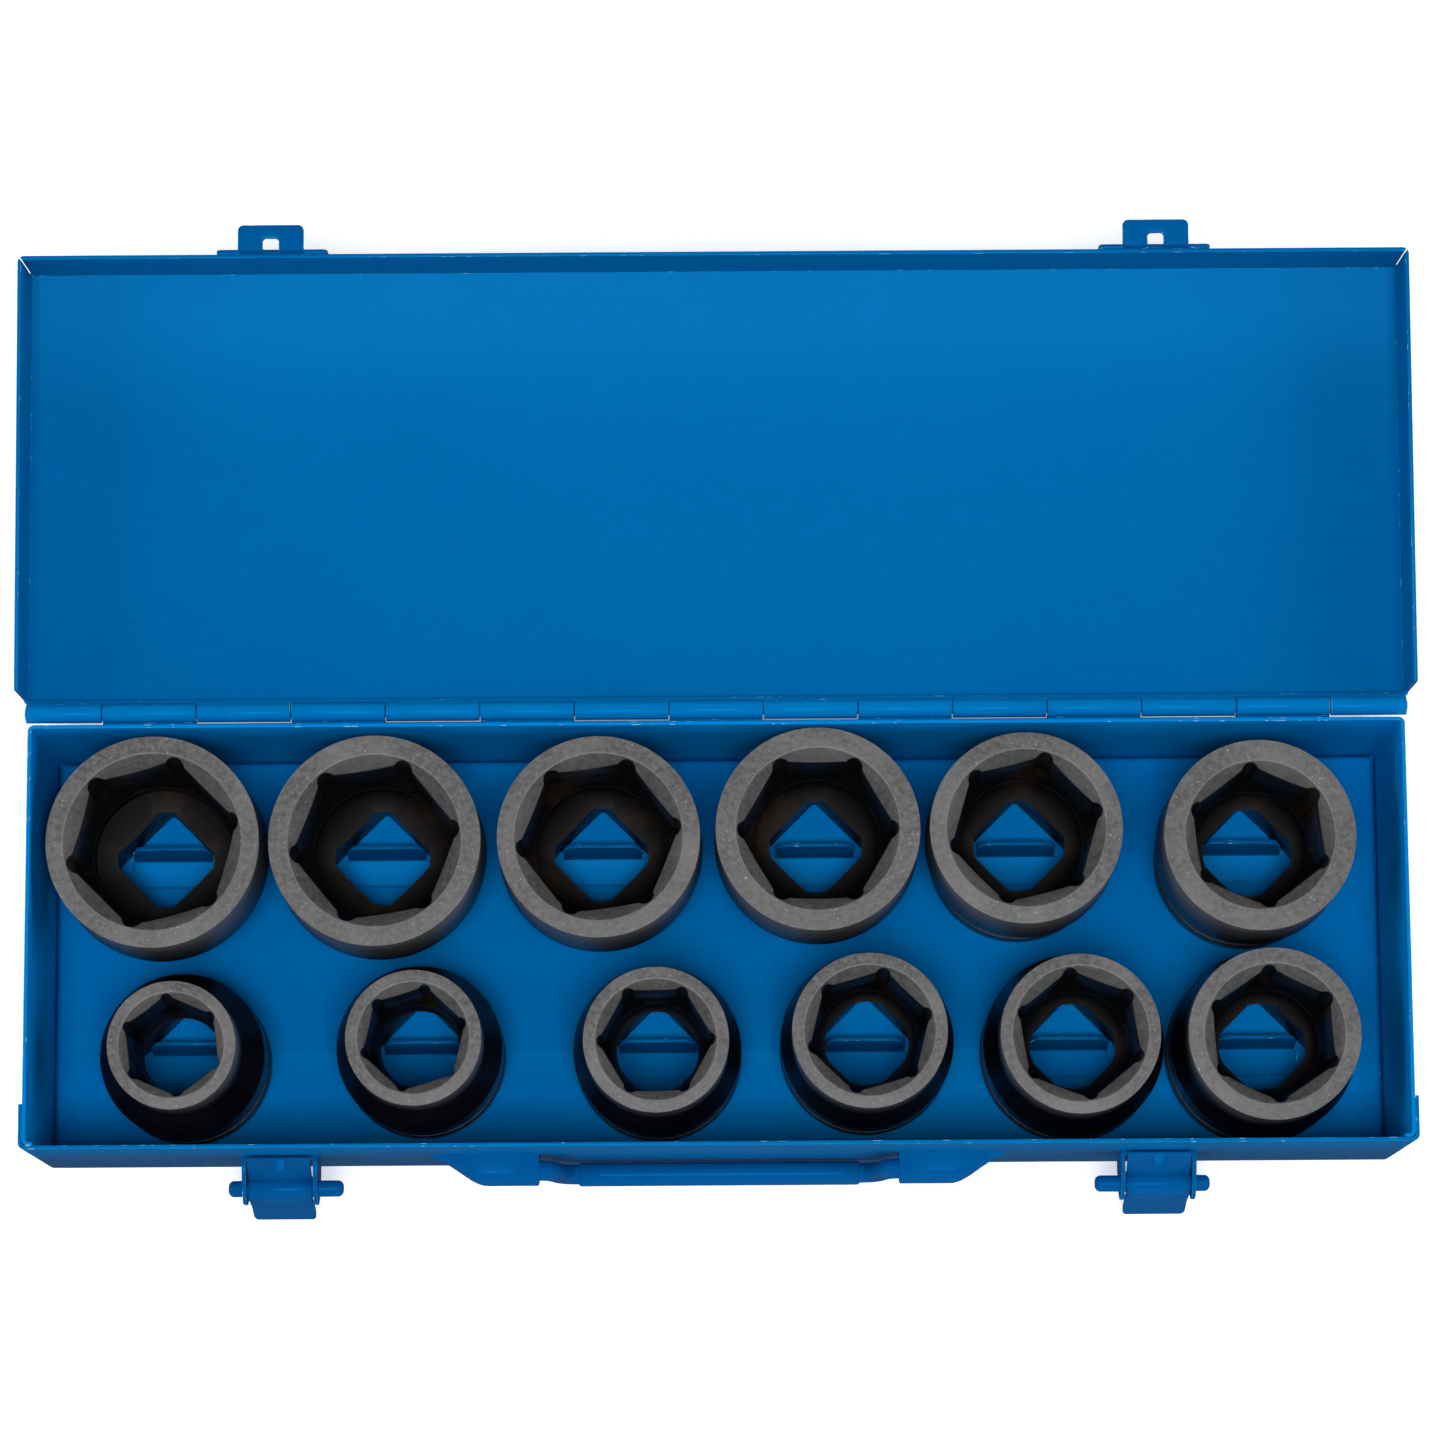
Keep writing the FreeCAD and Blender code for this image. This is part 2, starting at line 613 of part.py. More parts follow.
def impact_socket(size, mouth_diameter, widest_diameter, turn, large):
    """One socket standing on its drive end at the origin."""
    length = large_length if large else small_length
    mouth, widest = mouth_diameter / 2, widest_diameter / 2
    points = [(0, 0)] + socket_profile(mouth, widest, length, large) + [(0, length)]
    wire = Part.makePolygon([V(r, 0, z) for r, z in points + points[:1]])
    body = Part.Face(wire).revolve(V(0, 0, 0), Z_AXIS, 360)
    rim = [e for e in body.Edges if isinstance(e.Curve, Part.Circle)
           and abs(e.Curve.Center.z - length) < 1e-6]
    body = body.makeFillet(mouth_round, rim)
    groove_radius = (large_drive_radius if large else widest) - ring_groove_depth
    groove = Part.makeCylinder(widest + 5, ring_groove_width,
                               V(0, 0, ring_groove_height - ring_groove_width / 2))
    groove = groove.cut(Part.makeCylinder(groove_radius, ring_groove_width * 2,
                                          V(0, 0, ring_groove_height - ring_groove_width)))
    body = body.cut(groove)
    hex_depth = hex_share * length
    relief = max(relief_share * size, drive_square / 2 + relief_over_drive)
    relief_low = drive_depth + relief_above_drive
    cone_low = drive_depth - drive_lead
    corner = (size + hex_clearance) / math.sqrt(3)
    sink = min(corner + mouth_lip, mouth - mouth_round - mouth_wall)
    sink_depth = (sink - size / 2) * mouth_slope
    cuts = [
        hexagon_cutter(size, turn, hex_depth, length),
        Part.makeCylinder(relief, length - hex_depth - relief_low + 0.5, V(0, 0, relief_low)),
        Part.makeCone(drive_square / 2 - drive_lead / 2, relief, relief_low - cone_low,
                      V(0, 0, cone_low)),
        Part.makeCone(size / 2, sink, sink_depth, V(0, 0, length - sink_depth)),
        drive_cutter(),
    ]
    for cutter in cuts:
        body = body.cut(cutter)
    cross = Part.makeCylinder(cross_hole_radius, 2 * widest + 10,
                              V(-widest - 5, 0, ring_groove_height), X_AXIS)
    cross.rotate(V(0, 0, 0), Z_AXIS, 45)
    return body.cut(cross)


def place_sockets():
    """Stand every socket on its tongue in the rack."""
    rows = ((front_row, FRONT_SOCKETS, False), (rear_row, REAR_SOCKETS, True))
    for row, sockets, large in rows:
        for size, mouth, widest, x, slack, turn in sockets:
            socket = impact_socket(size, mouth, widest, turn, large)
            socket.translate(V(x, row + slack, rack_top + seat_gap))
            save(socket, "socket_%dmm" % size)


save(base_pan(), "base_pan")
save(front_panel(), "front_panel")
save(socket_rack(), "socket_rack")
save(hinge_leaf(False), "hinge_leaf_case")
save(hinge_leaf(True), "hinge_leaf_lid")
save(hinge_pin(), "hinge_pin")
save(lid_pan(), "lid_pan")
for name, side in (("left", -1), ("right", 1)):
    middle = side * latch_centre
    save(hasp(middle), "hasp_" + name)
    save(latch_bracket(middle), "latch_bracket_" + name)
    save(latch_pin(middle, side), "latch_pin_" + name)
    save(latch_lever(middle), "latch_lever_" + name)
    save(handle_bracket(side), "handle_bracket_" + name)
save(carry_handle(), "carry_handle")
place_sockets()
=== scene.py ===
import json
import math

import bmesh
import bpy
from mathutils import Matrix, Vector


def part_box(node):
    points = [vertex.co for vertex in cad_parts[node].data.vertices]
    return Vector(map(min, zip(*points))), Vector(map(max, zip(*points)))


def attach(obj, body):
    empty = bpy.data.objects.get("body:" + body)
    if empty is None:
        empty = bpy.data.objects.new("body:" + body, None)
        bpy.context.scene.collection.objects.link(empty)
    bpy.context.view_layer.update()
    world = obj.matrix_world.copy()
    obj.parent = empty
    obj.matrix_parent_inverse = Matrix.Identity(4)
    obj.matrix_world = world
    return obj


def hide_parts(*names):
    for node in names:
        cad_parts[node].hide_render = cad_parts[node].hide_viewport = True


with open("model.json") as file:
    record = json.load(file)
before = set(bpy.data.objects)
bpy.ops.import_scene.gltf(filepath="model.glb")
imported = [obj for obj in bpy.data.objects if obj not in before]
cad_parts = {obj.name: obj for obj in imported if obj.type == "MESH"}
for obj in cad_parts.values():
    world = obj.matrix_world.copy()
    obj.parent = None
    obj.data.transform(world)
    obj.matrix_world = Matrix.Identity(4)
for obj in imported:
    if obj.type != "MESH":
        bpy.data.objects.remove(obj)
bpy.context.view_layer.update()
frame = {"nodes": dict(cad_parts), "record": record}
scene = bpy.context.scene
MM = 0.001                  # the scene is in metres
DRIVE_SQUARE = 19.3         # across the drive hole's flats, in mm
RACK_TOP = 6.0 * MM         # height of the plate that the sockets stand on
TONGUE_HEIGHT = 6.5 * MM    # above the rack's plate
TONGUE_FOOT = 0.25 * MM     # a tongue's lowest part, which stays where it is
TONGUE_LEAN = 2.1 * MM      # a tongue's edge behind its root
TONGUE_GAP = 0.2            # left beside a tongue, along the drive hole's diagonal, in mm
TONGUE_ROOM = (DRIVE_SQUARE * math.sqrt(0.5) - TONGUE_GAP) * MM     # half the diagonal, less that


# ---------------------------------------------------------------- camera

LENS = 131.06               # focal length in mm
SENSOR_WIDTH = 36.0
CAMERA_TILT = math.radians(9.28)        # from straight down
CAMERA_ROLL = math.radians(-0.367)
CAMERA_PLACE = (1.53 * MM, -154.9 * MM, 1318.5 * MM)


def make_camera():
    """A long lens almost overhead, standing a little in front of the case."""
    data = bpy.data.cameras.new("camera")
    data.lens = LENS
    data.sensor_width = SENSOR_WIDTH
    data.clip_start = 0.05
    data.clip_end = 50.0
    camera = bpy.data.objects.new("camera", data)
    scene.collection.objects.link(camera)
    turn = Matrix.Rotation(CAMERA_TILT, 4, "X") @ Matrix.Rotation(CAMERA_ROLL, 4, "Z")
    camera.matrix_world = Matrix.Translation(CAMERA_PLACE) @ turn
    scene.camera = camera


# ---------------------------------------------------------------- node helpers

class Nodes:
    """A short way to build a material's node tree."""

    def __init__(self, name):
        self.material = bpy.data.materials.new(name)
        self.material.use_nodes = True
        self.tree = self.material.node_tree
        self.tree.nodes.clear()
        out = self.tree.nodes.new("ShaderNodeOutputMaterial")
        self.shader = self.tree.nodes.new("ShaderNodeBsdfPrincipled")
        self.tree.links.new(self.shader.outputs[0], out.inputs[0])

    def link(self, a, b):
        self.tree.links.new(a, b)

    def set(self, socket, value):
        """Put a constant or another node's output into a socket."""
        if isinstance(value, bpy.types.NodeSocket):
            self.link(value, socket)
        else:
            socket.default_value = value

    def object_coords(self):
        return self.tree.nodes.new("ShaderNodeTexCoord").outputs["Object"]

    def noise(self, scale, detail=4.0, roughness=0.55):
        """Cloudy pattern from 0 to 1; scale is its features per metre."""
        node = self.tree.nodes.new("ShaderNodeTexNoise")
        node.inputs["Scale"].default_value = scale
        node.inputs["Detail"].default_value = detail
        node.inputs["Roughness"].default_value = roughness
        self.link(self.object_coords(), node.inputs["Vector"])
        return node.outputs[0]

    def ramp(self, value, low, high, out_low=0.0, out_high=1.0):
        """A smooth step from out_low to out_high as value goes from low to high."""
        node = self.tree.nodes.new("ShaderNodeMapRange")
        node.interpolation_type = "SMOOTHSTEP"
        self.set(node.inputs["Value"], value)
        for name, number in (("From Min", low), ("From Max", high),
                             ("To Min", out_low), ("To Max", out_high)):
            node.inputs[name].default_value = number
        return node.outputs[0]

    def math(self, operation, a, b=0.0):
        node = self.tree.nodes.new("ShaderNodeMath")
        node.operation = operation
        self.set(node.inputs[0], a)
        self.set(node.inputs[1], b)
        return node.outputs[0]

    def mix(self, factor, a, b):
        node = self.tree.nodes.new("ShaderNodeMix")
        node.data_type = "RGBA"
        self.set(node.inputs[0], factor)
        self.set(node.inputs[6], a)
        self.set(node.inputs[7], b)
        return node.outputs[2]

    def attribute(self, name):
        node = self.tree.nodes.new("ShaderNodeAttribute")
        node.attribute_name = name
        return node.outputs["Fac"]

    def axis(self, vector, name):
        node = self.tree.nodes.new("ShaderNodeSeparateXYZ")
        self.link(vector, node.inputs[0])
        return node.outputs[name]

    def bump(self, height, distance, strength):
        """Fine relief of the surface; distance is its depth in metres."""
        node = self.tree.nodes.new("ShaderNodeBump")
        node.inputs["Strength"].default_value = strength
        node.inputs["Distance"].default_value = distance
        self.link(height, node.inputs["Height"])
        self.link(node.outputs[0], self.shader.inputs["Normal"])


def srgb(red, green, blue):
    """A screen colour, each part from 0 to 255, as the linear colour a shader takes."""
    parts = []
    for part in (red, green, blue):
        part /= 255
        parts.append(part / 12.92 if part <= 0.04045 else ((part + 0.055) / 1.055) ** 2.4)
    return (*parts, 1.0)


# ---------------------------------------------------------------- materials

EDGE_BLUE = srgb(0, 128, 196)           # pale enamel: rubbed thin on edges and partly painted highlight there; also the dust specks
# painted light: the pan's floor under the rack, made lighter to offset the shade it lies in
UNDER_RACK_PAINTED_LIGHT = srgb(0, 118, 194)
# painted shade: the rack's tongues, darker because their faces lie in shade
TONGUE_PAINTED_SHADE = srgb(0, 74, 134)
BAND_BLUR = 0.3 * MM                    # height over which one colour turns into the other
# painted highlight: near-white for the dashed sparkles along the edges
SPARKLE_WHITE = srgb(150, 205, 235)
ENAMEL_SHEEN = (0.02, 0.45, 1.0, 1.0)   # tint of the enamel's reflections
PEEL_DEPTH = 0.03 * MM
FORGED_DEPTH = 0.05 * MM
SCALE_DEPTH = 0.06 * MM


def enamel(name, colour, lighter, darker, painted_light_band=None):
    """Stoved enamel on sheet steel: even colour with faint clouds, dust specks, orange peel and
    pale edges, partly worn and partly painted highlight, with white dashes of painted highlight.
    The last argument is (low, high, colour), a stretch of height painted lighter or darker as
    painted light or shade."""
    n = Nodes(name)
    clouds = n.noise(9.0, detail=3.0)
    fine = n.noise(260.0, detail=2.0)
    base = n.mix(n.ramp(clouds, 0.35, 0.65), darker, colour)
    base = n.mix(n.ramp(fine, 0.45, 0.75, 0.0, 0.35), base, lighter)
    specks = n.ramp(n.noise(900.0, detail=1.0), 0.74, 0.80, 0.0, 0.25)
    base = n.mix(specks, base, EDGE_BLUE)
    # painted light and shade: a stretch of height takes a lighter or darker colour
    if painted_light_band:
        low, high, other = painted_light_band
        height = n.axis(n.object_coords(), "Z")
        share = n.math("MULTIPLY", n.ramp(height, low - BAND_BLUR, low),
                       n.ramp(height, high, high + BAND_BLUR, 1.0, 0.0))
        base = n.mix(share, base, other)
    # pale edges: partly worn enamel, partly painted highlight along the rounded edges
    edge_wear_and_highlight = n.ramp(n.noise(150.0, detail=4.0), 0.35, 0.7, 0.25, 0.8)
    edge = n.attribute("edge")
    base = n.mix(n.math("MULTIPLY", edge, edge_wear_and_highlight), base, EDGE_BLUE)
    # painted highlight: white dashes along the edges stand for sparkles of light on them
    painted_sparkles = n.math("MULTIPLY", edge, n.ramp(n.noise(330.0, detail=3.0), 0.60, 0.66, 0.0, 0.6))
    base = n.mix(painted_sparkles, base, SPARKLE_WHITE)
    n.link(base, n.shader.inputs["Base Color"])
    n.link(n.ramp(clouds, 0.3, 0.7, 0.20, 0.28), n.shader.inputs["Roughness"])
    n.shader.inputs["Specular IOR Level"].default_value = 0.10
    n.shader.inputs["Specular Tint"].default_value = ENAMEL_SHEEN
    peel = n.math("ADD", n.noise(420.0, detail=2.0), n.math("MULTIPLY", n.noise(90.0), 2.0))
    n.bump(peel, PEEL_DEPTH, 0.2)
    return n.material


def phosphated_steel(name):
    """Black impact-socket finish outside: dusty grey where it was turned, near-black elsewhere."""
    n = Nodes(name)
    face = n.attribute("face")
    edge = n.attribute("edge")
    dust = n.noise(700.0, detail=6.0, roughness=0.7)
    patches = n.noise(60.0, detail=4.0)
    skin = n.mix(n.ramp(patches, 0.35, 0.7), srgb(5, 4, 6), srgb(17, 14, 17))
    dusty = n.mix(n.ramp(dust, 0.3, 0.7), srgb(70, 69, 70), srgb(99, 98, 99))
    dusty = n.mix(n.ramp(patches, 0.45, 0.75, 0.0, 0.5), dusty, srgb(112, 110, 108))
    specks = n.ramp(n.noise(1800.0, detail=2.0), 0.68, 0.75)
    dusty = n.mix(n.math("MULTIPLY", specks, 0.6), dusty, srgb(190, 186, 180))
    base = n.mix(face, skin, dusty)
    # pale edges: partly bare steel worn through the finish, partly painted highlight lines
    base = n.mix(n.math("MULTIPLY", edge, 0.5), base, srgb(128, 126, 128))
    n.link(base, n.shader.inputs["Base Color"])
    rough = n.ramp(dust, 0.3, 0.7, 0.30, 0.42)
    rough = n.math("ADD", rough, n.math("MULTIPLY", face, 0.10))
    n.link(rough, n.shader.inputs["Roughness"])
    n.shader.inputs["Specular IOR Level"].default_value = 0.22
    n.bump(n.math("ADD", n.noise(1500.0, detail=3.0), n.math("MULTIPLY", patches, 1.5)),
           FORGED_DEPTH, 0.35)
    return n.material


def oiled_steel(name):
    """The broached and bored inside: black scale with brown streaks, partly a thin oil film and
    partly painted sheen.
    """
    n = Nodes(name)
    edge = n.attribute("edge")
    streaks = n.noise(45.0, detail=5.0, roughness=0.65)
    grain = n.noise(900.0, detail=3.0)
    # brown streaks: partly oil film, partly painted sheen
    base = n.mix(n.ramp(streaks, 0.48, 0.70), srgb(6, 5, 6), srgb(46, 36, 26))
    base = n.mix(n.ramp(grain, 0.5, 0.8, 0.0, 0.3), base, srgb(30, 26, 24))
    # pale edges: partly worn steel, partly painted highlight lines
    base = n.mix(n.math("MULTIPLY", edge, 0.5), base, srgb(120, 116, 116))
    n.link(base, n.shader.inputs["Base Color"])
    n.link(n.ramp(streaks, 0.4, 0.7, 0.50, 0.34), n.shader.inputs["Roughness"])
    n.shader.inputs["Specular IOR Level"].default_value = 0.22
    n.bump(n.math("ADD", grain, n.math("MULTIPLY", streaks, 2.0)), SCALE_DEPTH, 0.4)
    return n.material


GLOW_NEAR = 0.25            # the floor's glow under the case
GLOW_STARTS = 0.8           # metres from the case where it begins to rise
GLOW_FULL = 2.4             # and where it is full


def pale_floor():
    """White board that glows a little, and more far away, where the lamps don't reach."""
    n = Nodes("pale_floor")
    n.link(n.mix(n.noise(3.0), srgb(247, 247, 248), srgb(252, 252, 252)),
           n.shader.inputs["Base Color"])
    n.shader.inputs["Roughness"].default_value = 0.9
    n.shader.inputs["Specular IOR Level"].default_value = 0.1
    n.shader.inputs["Emission Color"].default_value = (1, 1, 1, 1)
    far = n.tree.nodes.new("ShaderNodeVectorMath")
    far.operation = "LENGTH"
    n.link(n.object_coords(), far.inputs[0])
    glow = n.ramp(far.outputs["Value"], GLOW_STARTS, GLOW_FULL, GLOW_NEAR, 1.0)
    n.link(glow, n.shader.inputs["Emission Strength"])
    return n.material


# ---------------------------------------------------------------- studio

MIDDLE = Vector((0.0, 0.05, 0.04))      # what the lamps point at
WORLD_GLOW = 0.04           # the surroundings as a light, where white is 1
FLOOR_SIZE = 6.0            # half its side, in metres


def area_light(name, azimuth, lean, distance, size, share):
    """A soft box. lean is its angle from straight overhead, and share is how much light it
    gives a white card that faces it."""
    data = bpy.data.lights.new(name, "AREA")
    data.shape = "RECTANGLE"
    data.size, data.size_y = size
    data.energy = share * math.pi ** 2 * distance ** 2
    light = bpy.data.objects.new(name, data)
    scene.collection.objects.link(light)
    a, t = math.radians(azimuth), math.radians(lean)
    away = Vector((math.sin(a) * math.sin(t), -math.cos(a) * math.sin(t), math.cos(t)))
    light.location = MIDDLE + away * distance
    light.rotation_mode = "QUATERNION"
    light.rotation_quaternion = (-away).to_track_quat("-Z", "Y")


def make_studio():
    """White surroundings, five soft boxes and the floor."""
    scene.view_settings.view_transform = "Standard"
    world = bpy.data.worlds.new("studio")
    world.use_nodes = True
    background = world.node_tree.nodes["Background"]
    background.inputs[0].default_value = (1, 1, 1, 1)
    # white where it is seen, but nearly dark as a light
    seen = world.node_tree.nodes.new("ShaderNodeLightPath")
    strength = world.node_tree.nodes.new("ShaderNodeMapRange")
    strength.inputs["To Min"].default_value = WORLD_GLOW
    strength.inputs["To Max"].default_value = 1.0
    world.node_tree.links.new(seen.outputs["Is Camera Ray"], strength.inputs["Value"])
    world.node_tree.links.new(strength.outputs[0], background.inputs[1])
    scene.world = world
    area_light("key", 0, 12.5, 3.2, (1.15, 0.8), 0.68)
    area_light("front", 0, 62, 3.0, (3.2, 1.3), 0.22)
    area_light("left", -90, 60, 3.0, (2.4, 1.6), 0.46)
    area_light("right", 90, 60, 3.0, (2.4, 1.6), 0.48)
    area_light("back", 180, 55, 3.0, (3.2, 1.3), 0.12)
    bm = bmesh.new()
    bmesh.ops.create_grid(bm, x_segments=2, y_segments=2, size=FLOOR_SIZE)
    floor = bpy.data.objects.new("floor", finish_mesh(bm, "floor"))
    floor.data.materials.append(pale_floor())
    scene.collection.objects.link(floor)
    floor.visible_glossy = False


# ---------------------------------------------------------------- mesh helpers

def finish_mesh(bm, name):
    """The finished mesh of a bmesh, which is freed."""
    mesh = bpy.data.meshes.new(name)
    bm.to_mesh(mesh)
    bm.free()
    return mesh


def body_of(node):
    """The body that a CAD node belongs to."""
    bodies = frame["record"]["behaviour"]["bodies"]
    return next(body for body, nodes in bodies.items() if node in nodes)


def add_piece(node, mesh, materials, smooth=30):
    """Put a mesh in the scene as the piece that stands for a CAD node."""
    mesh.polygons.foreach_set("use_smooth", [True] * len(mesh.polygons))
    mesh.set_sharp_from_angle(angle=math.radians(smooth))
    piece = bpy.data.objects.new(node + "_body", mesh)
    scene.collection.objects.link(piece)
    for material in materials:
        mesh.materials.append(material)
    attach(piece, body_of(node))
    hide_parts(node)


SOFT_EDGE = 0.17 * MM       # rounding of the sheet's cut edges
WELD = 0.001 * MM           # vertices nearer than this are one
SHARP = math.radians(35)    # a crease at least this sharp is rounded
FLAT = math.radians(0.05)   # faces that meet at less than this are one


def lean_tongues(bm):
    """The rack's tongues are bent up a little past upright. Each one narrows towards its tip,
    so that it stays clear of the walls of the drive hole around it."""
    axes = []
    for node in frame["nodes"]:
        if node.startswith("socket_") and node.endswith("mm"):
            low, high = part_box(node)
            axes.append(((low[0] + high[0]) / 2, (low[1] + high[1]) / 2))
    for v in bm.verts:
        if v.co.z > RACK_TOP + TONGUE_FOOT:
            v.co.y += TONGUE_LEAN * (v.co.z - RACK_TOP) / TONGUE_HEIGHT
            x, y = min(axes, key=lambda axis: math.hypot(axis[0] - v.co.x, axis[1] - v.co.y))
            # the hole is a square on its corner, so it narrows by as much as v is off its middle
            reach = TONGUE_ROOM - abs(v.co.y - y)
            v.co.x = x + max(-reach, min(reach, v.co.x - x))


def soften(node):
    """A CAD part's own shape with its cut edges rounded, standing for the CAD part."""
    bm = bmesh.new()
    bm.from_mesh(frame["nodes"][node].data)
    bmesh.ops.remove_doubles(bm, verts=bm.verts, dist=WELD)
    bmesh.ops.dissolve_limit(bm, angle_limit=FLAT, verts=bm.verts, edges=bm.edges)
    mark = bm.faces.layers.float.new("edge")
    sharp = [e for e in bm.edges
             if len(e.link_faces) == 2 and e.calc_face_angle(0.0) > SHARP]
    done = bmesh.ops.bevel(bm, geom=sharp, offset=SOFT_EDGE, offset_type="OFFSET", segments=2,
                           profile=0.5, affect="EDGES", clamp_overlap=True)
    for face in done["faces"]:
        face[mark] = 1.0
    if node == "socket_rack":
        lean_tongues(bm)
    bmesh.ops.triangulate(bm, faces=[f for f in bm.faces if len(f.verts) > 4])
    slot = SLOT_OF[node]
    paint = SPECIAL_PAINTS.get(node, PAINTS[slot])
    add_piece(node, finish_mesh(bm, node + "_body"), [paint])


def round_corners(points, steps=7):
    """Turn each corner of (radius, height, rounding) points into an arc of (radius, height)."""
    done = []
    count = len(points)
    for i, (x, y, rounding) in enumerate(points):
        here = Vector((x, y))
        if i in (0, count - 1) or rounding <= 0:
            done.append(here)
            continue
        before = Vector(points[i - 1][:2]) - here
        after = Vector(points[i + 1][:2]) - here
        angle = before.angle(after)
        # an arc takes less than half of each side, so neighbouring arcs don't meet
        cut = min(rounding / math.tan(angle / 2), before.length * 0.49, after.length * 0.49)
        a, b = here + before.normalized() * cut, here + after.normalized() * cut
        for s in range(steps + 1):
            t = s / steps
            done.append((1 - t) ** 2 * a + 2 * t * (1 - t) * here + t * t * b)
    return [(p.x, p.y) for p in done]


# ---------------------------------------------------------------- carrying handle

ROD_RADIUS = 2.45           # all in mm, as are the sizes of the brackets and sockets below
GRIP_RADIUS = 2.95
GRIP_BACK = 0.55            # the grip's axis nearer the panel than its pivots'
GRIP_ABOVE_LOWEST = 0.3     # the grip above the bottom of the CAD handle
SHOULDER = 41.5             # x where the bend leaves the bracket
ELBOW = 36.0                # x where it turns into the grip
BEND_STEPS = 18
HANDLE_SIDES = 40
SEAM = 0.35                 # depth of the seam where the grip's sheet meets


def swing_axis():
    """Y and Z of the axis that the handle swings about."""
    joint = next(j for j in frame["record"]["behaviour"]["joints"]
                 if j["name"] == "handle_swing")
    return joint["pos_m"][1] / MM, joint["pos_m"][2] / MM


def lofted(rings):
    """A closed skin over rings of equally many points, each point in mm."""
    bm = bmesh.new()
    loops = [[bm.verts.new(Vector(p) * MM) for p in ring] for ring in rings]
    count = len(rings[0])
    for under, over in zip(loops, loops[1:]):
        for i in range(count):
            j = (i + 1) % count
            bm.faces.new((under[i], under[j], over[j], over[i]))
    bm.faces.new(loops[0][::-1])
    bm.faces.new(loops[-1])
    bmesh.ops.recalc_face_normals(bm, faces=bm.faces)
    return bm


def bezier(a, b, c, d, steps):
    """Points along the cubic curve from a to d."""
    for k in range(steps + 1):
        t = k / steps
        yield ((1 - t) ** 3 * a + 3 * t * (1 - t) ** 2 * b
               + 3 * t * t * (1 - t) * c + t ** 3 * d)


def make_handle():
    """Bent rod with a thicker rolled grip and smooth bends, hanging from its brackets."""
    axis_y, axis_z = swing_axis()
    low, high = (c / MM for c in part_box("carry_handle"))
    rod, grip = ROD_RADIUS, GRIP_RADIUS
    grip_y = axis_y + GRIP_BACK
    grip_z = low.z + grip + GRIP_ABOVE_LOWEST
    span = ELBOW - 0.5
    stub = [Vector((x, axis_y, axis_z)) for x in (high.x, 50.0, 45.5)]
    bend = bezier(Vector((SHOULDER + 2.0, axis_y, axis_z)),
                  Vector((SHOULDER - 2.2, axis_y, axis_z)),
                  Vector((ELBOW + 5.5, grip_y, grip_z)),
                  Vector((span, grip_y, grip_z)), BEND_STEPS)
    line = [(p, rod) for p in (*stub, *bend)]
    # the grip's rounded end, as distance from the bend and radius
    line += [(Vector((span - d, grip_y, grip_z)), r) for d, r in
             ((0.6, rod), (0.75, grip - 0.25), (1.2, grip), (8.0, grip))]
    mirrored = [(Vector((-p.x, p.y, p.z)), r) for p, r in reversed(line)]
    line += [(Vector((0.0, grip_y, grip_z)), grip)] + mirrored
    rings = []
    for k, (p, r) in enumerate(line):
        ahead = line[min(k + 1, len(line) - 1)][0]
        behind = line[max(k - 1, 0)][0]
        along = (ahead - behind).normalized()
        across = along.cross(Vector((0, 0, 1))).normalized()
        up = across.cross(along)
        ring = []
        for i in range(HANDLE_SIDES):
            a = 2 * math.pi * i / HANDLE_SIDES
            out = across * math.cos(a) + up * math.sin(a)
            # the grip is rolled from sheet: its seam faces the panel
            at_seam = r > rod and i in (0, HANDLE_SIDES // 2) and out.y > 0.9
            ring.append(p + out * (r - (SEAM if at_seam else 0.0)))
        rings.append(ring)
    mesh = finish_mesh(lofted(rings), "carry_handle_body")
    add_piece("carry_handle", mesh, [fitting_paint], smooth=40)


# ---------------------------------------------------------------- handle brackets

BRACKET_TUNNEL = 14.0       # length at full height
BRACKET_END = 1.1           # how far the tunnel's flat tip stands off the panel
BRACKET_BORE = 2.55         # radius around the handle's end
BORE_DEPTH = 13.0
BORE_CHAMFER = 0.35
TAPER_EARLY = 1.5           # the slope starts this much before the tunnel's end
TAPER_STEPS = 14
TIP_HEIGHT = 0.72           # height of the tip, of the tunnel's
BRACKET_SIDES = 48
FLANGE = 0.9                # thickness of the flat flange
FLANGE_SHORT = 2.0          # the flange ends this far before the tip
FLANGE_CORNER = 2.0


